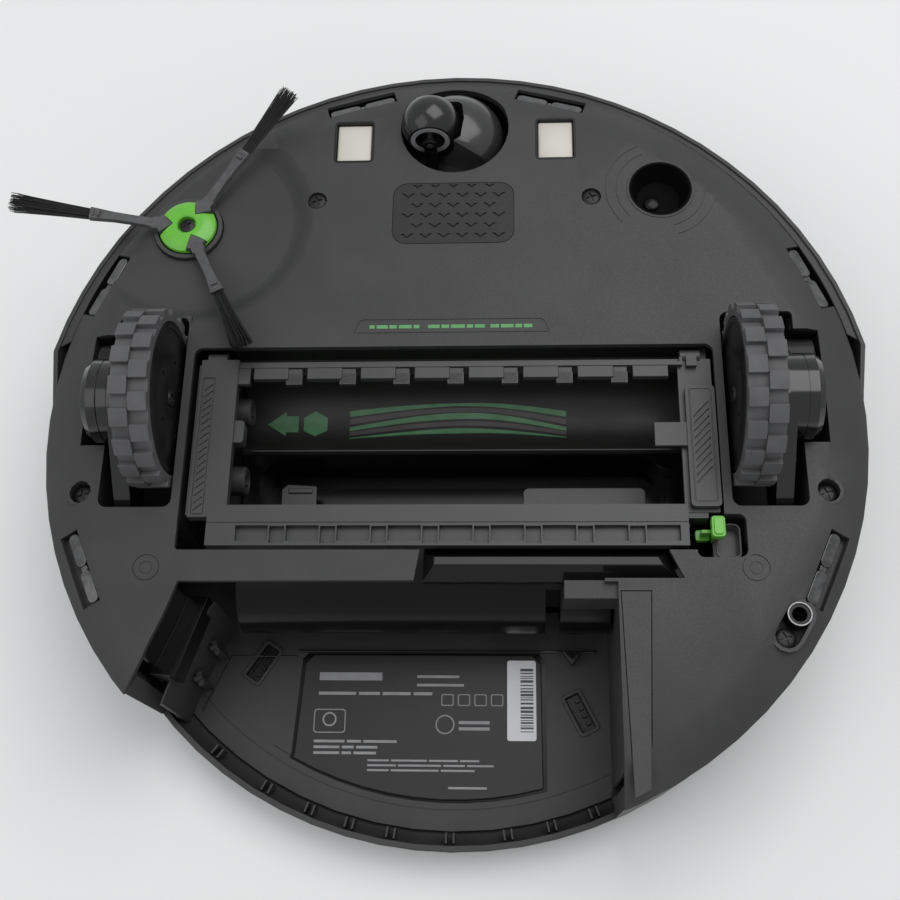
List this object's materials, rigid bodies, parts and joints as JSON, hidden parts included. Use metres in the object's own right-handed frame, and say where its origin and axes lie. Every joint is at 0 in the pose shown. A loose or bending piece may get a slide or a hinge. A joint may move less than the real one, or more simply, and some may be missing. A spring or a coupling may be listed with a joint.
{
  "type": "robot vacuum",
  "caption": "Round robot vacuum lying lid down: driven wheels on spring arms, caster, side brush, hinged brush-bay frame and an open dust-bin bay.",
  "frame": {"origin": "centre of the round body on the lid's flat face, which is the face it lies on", "axes": "+Z out of the underside, +Y towards the bumper at the robot's front, +X to the right when the underside is seen with the front away from the viewer"},
  "size_m": [0.3609, 0.337, 0.1218],
  "materials": {
    "shell": "fine textured charcoal plastic",
    "deck": "satin charcoal plastic",
    "gloss": "polished black plastic",
    "frame": "satin grey plastic",
    "tyre": "matt grey rubber with a blocked tread",
    "dark": "satin black plastic",
    "lime": "glossy lime-green plastic",
    "rubber": "smooth dark grey rubber",
    "bristle": "black nylon bristle",
    "nickel": "satin nickel plate",
    "steel": "plain steel",
    "window": "clear smoked plastic window",
    "board": "green circuit board",
    "cell": "shrink-wrapped battery pack",
    "label": "satin dark plastic plate"
  },
  "bodies": {
    "body": {"top_cover": "shell", "chassis": "deck", "bumper_spring_left": "steel", "bumper_spring_right": "steel", "bottom_cover": "shell", "charging_contact_left": "nickel", "charging_contact_right": "nickel", "chevron_pad": "frame", "side_strip": "shell", "cliff_window_front_right": "window", "cliff_window_right": "window", "cliff_window_rear_right": "window", "cliff_window_front_left": "window", "cliff_window_left": "window", "cliff_window_rear_left": "window", "floor_sensor": "dark", "cover_screw_left": "steel", "cover_screw_right": "steel", "recessed_screw_left": "steel", "recessed_screw_right": "steel", "slot_screw": "steel", "brush_housing": "gloss", "brush_drive_gearbox": "dark", "wheel_well_left": "deck", "wheel_well_right": "deck", "caster_socket": "dark", "side_brush_gearbox": "frame", "bin_bay_wall_left": "deck", "bin_bay_wall_right": "deck", "label_plate": "label", "battery": "cell", "main_board": "board", "blower_housing": "dark"},
    "bumper": {"bumper": "shell"},
    "clean_button": {"clean_button": "gloss"},
    "suspension_left": {"suspension_arm_left": "gloss", "drive_motor_left": "steel", "suspension_spring_left": "steel"},
    "suspension_right": {"suspension_arm_right": "gloss", "drive_motor_right": "steel", "suspension_spring_right": "steel"},
    "wheel_left": {"tyre_left": "tyre", "wheel_hub_left": "dark"},
    "wheel_right": {"tyre_right": "tyre", "wheel_hub_right": "dark"},
    "caster_swivel": {"caster_fork": "gloss", "caster_axle": "steel"},
    "caster_wheel": {"caster_wheel": "gloss"},
    "side_brush": {"side_brush_hub": "lime", "side_brush_arms": "rubber", "bristles_left": "bristle", "bristles_front": "bristle", "bristles_rear": "bristle", "side_brush_screw": "steel"},
    "brush_frame": {"brush_frame": "frame", "bearing_cover": "frame"},
    "release_tab": {"release_tab": "lime"},
    "roller_socket_front": {"roller_socket_front": "frame"},
    "roller_socket_rear": {"roller_socket_rear": "frame"},
    "blower_impeller": {"blower_impeller": "frame"}
  },
  "joints": [
    {"name": "bumper_press", "type": "slide", "parent": "body", "child": "bumper", "axis": [0, -1, 0], "range_m": [0, 0.003], "stiffness_N_per_m": 600, "springref_m": -0.001, "deforming": ["bumper_spring_left", "bumper_spring_right"]},
    {"name": "clean_button_press", "type": "slide", "parent": "body", "child": "clean_button", "axis": [0, 0, 1], "range_m": [0, 0.0012], "stiffness_N_per_m": 800, "springref_m": -0.001},
    {"name": "suspension_left_swing", "type": "hinge", "parent": "body", "child": "suspension_left", "pos_m": [-0.1273, -0.044, 0.063], "axis": [-1, 0, 0], "range_deg": [0, 30], "stiffness_Nm_per_rad": 0.6, "springref_deg": -57.3},
    {"name": "suspension_right_swing", "type": "hinge", "parent": "body", "child": "suspension_right", "pos_m": [0.1273, -0.044, 0.063], "axis": [-1, 0, 0], "range_deg": [0, 30], "stiffness_Nm_per_rad": 0.6, "springref_deg": -57.3},
    {"name": "wheel_left_spin", "type": "hinge", "parent": "suspension_left", "child": "wheel_left", "pos_m": [-0.11865, 0.003, 0.0858], "axis": [1, 0, 0], "continuous": true},
    {"name": "wheel_right_spin", "type": "hinge", "parent": "suspension_right", "child": "wheel_right", "pos_m": [0.11865, 0.003, 0.0858], "axis": [1, 0, 0], "continuous": true},
    {"name": "caster_swivel", "type": "hinge", "parent": "body", "child": "caster_swivel", "pos_m": [0, 0.138, 0.0675], "axis": [0, 0, 1], "continuous": true},
    {"name": "caster_roll", "type": "hinge", "parent": "caster_swivel", "child": "caster_wheel", "pos_m": [-0.0106, 0.138, 0.08], "axis": [0, 1, 0], "continuous": true},
    {"name": "side_brush_spin", "type": "hinge", "parent": "body", "child": "side_brush", "pos_m": [-0.116, 0.0895, 0.0745], "axis": [0, 0, 1], "continuous": true, "deforming": ["bristles_left", "bristles_front", "bristles_rear"]},
    {"name": "brush_frame_open", "type": "hinge", "parent": "body", "child": "brush_frame", "pos_m": [0, 0.0255, 0.0735], "axis": [-1, 0, 0], "range_deg": [0, 65]},
    {"name": "release_tab_press", "type": "slide", "parent": "brush_frame", "child": "release_tab", "axis": [-1, 0, 0], "range_m": [0, 0.002], "stiffness_N_per_m": 400, "springref_m": -0.001},
    {"name": "roller_socket_front_spin", "type": "hinge", "parent": "body", "child": "roller_socket_front", "pos_m": [-0.0872, 0.008, 0.06], "axis": [1, 0, 0], "continuous": true},
    {"name": "roller_socket_rear_spin", "type": "hinge", "parent": "body", "child": "roller_socket_rear", "pos_m": [-0.0872, -0.023, 0.06], "axis": [1, 0, 0], "continuous": true},
    {"name": "blower_impeller_spin", "type": "hinge", "parent": "body", "child": "blower_impeller", "pos_m": [0.098, -0.082, 0.04], "axis": [0, 0, 1], "continuous": true}
  ]
}
